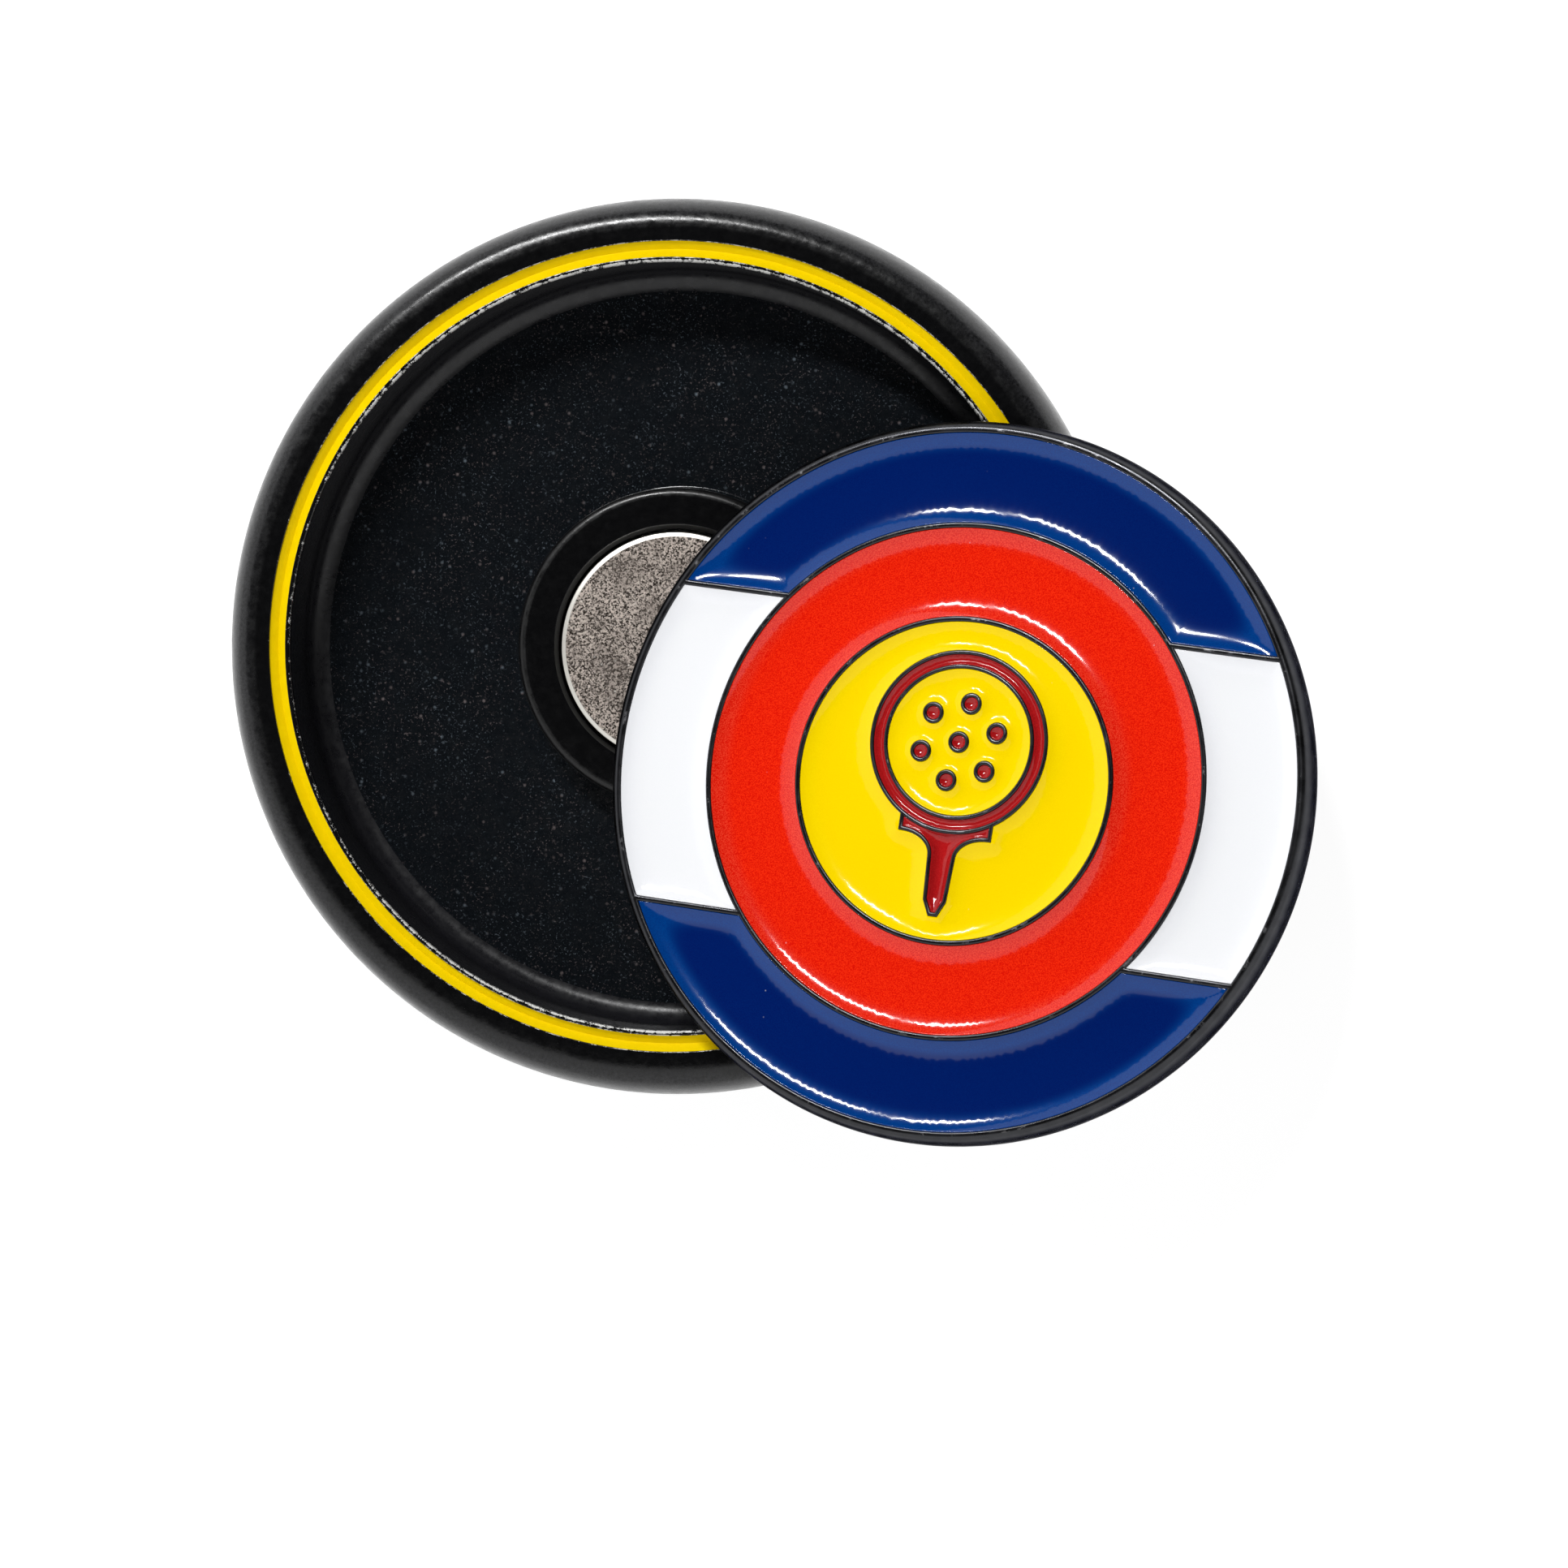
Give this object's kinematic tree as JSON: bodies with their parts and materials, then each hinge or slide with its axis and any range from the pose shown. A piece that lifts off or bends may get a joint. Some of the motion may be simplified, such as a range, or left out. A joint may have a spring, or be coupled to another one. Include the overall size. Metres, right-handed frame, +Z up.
{
  "type": "golf ball marker",
  "caption": "Round black die-cast tray with a magnet in its middle, and a removable soft-enamel steel coin that leans in it.",
  "frame": {"origin": "centre of the holder's underside", "axes": "+Z up along the holder's axis, out of its recess; the coin overlaps the holder's +X, -Y side"},
  "size_m": [0.0486, 0.0417, 0.0133],
  "materials": {
    "black_paint": "black enamel paint on a zinc die casting, satin gloss, lightly worn edges",
    "yellow_enamel": "poured soft enamel, gloss",
    "nickel": "nickel plating, fine matte grain, bright edge",
    "clear_glue": "cured adhesive",
    "black_plate": "black nickel plating on struck steel, semi-gloss",
    "blue_enamel": "poured soft enamel, gloss",
    "white_enamel": "poured soft enamel, gloss",
    "red_enamel": "poured soft enamel, gloss, fine grain",
    "gold_enamel": "poured soft enamel, gloss",
    "emblem_red": "poured soft enamel, dark red, gloss"
  },
  "bodies": {
    "holder": {"holder_tray": "black_paint", "yellow_enamel_line": "yellow_enamel", "magnet": "nickel", "magnet_glue": "clear_glue"},
    "coin": {"coin_blank": "black_plate", "blue_enamel_top": "blue_enamel", "blue_enamel_bottom": "blue_enamel", "white_enamel_left": "white_enamel", "white_enamel_right": "white_enamel", "red_enamel_ring": "red_enamel", "gold_enamel_field": "gold_enamel", "gold_enamel_ball": "gold_enamel", "red_enamel_ball": "emblem_red", "red_enamel_tee": "emblem_red", "red_enamel_dimple_1": "emblem_red", "red_enamel_dimple_2": "emblem_red", "red_enamel_dimple_3": "emblem_red", "red_enamel_dimple_4": "emblem_red", "red_enamel_dimple_5": "emblem_red", "red_enamel_dimple_6": "emblem_red", "red_enamel_dimple_7": "emblem_red"}
  },
  "joints": [
    {"name": "coin_lift", "type": "slide", "parent": "holder", "child": "coin", "axis": [0, 0, 1], "range_m": [0, 0.03]}
  ]
}
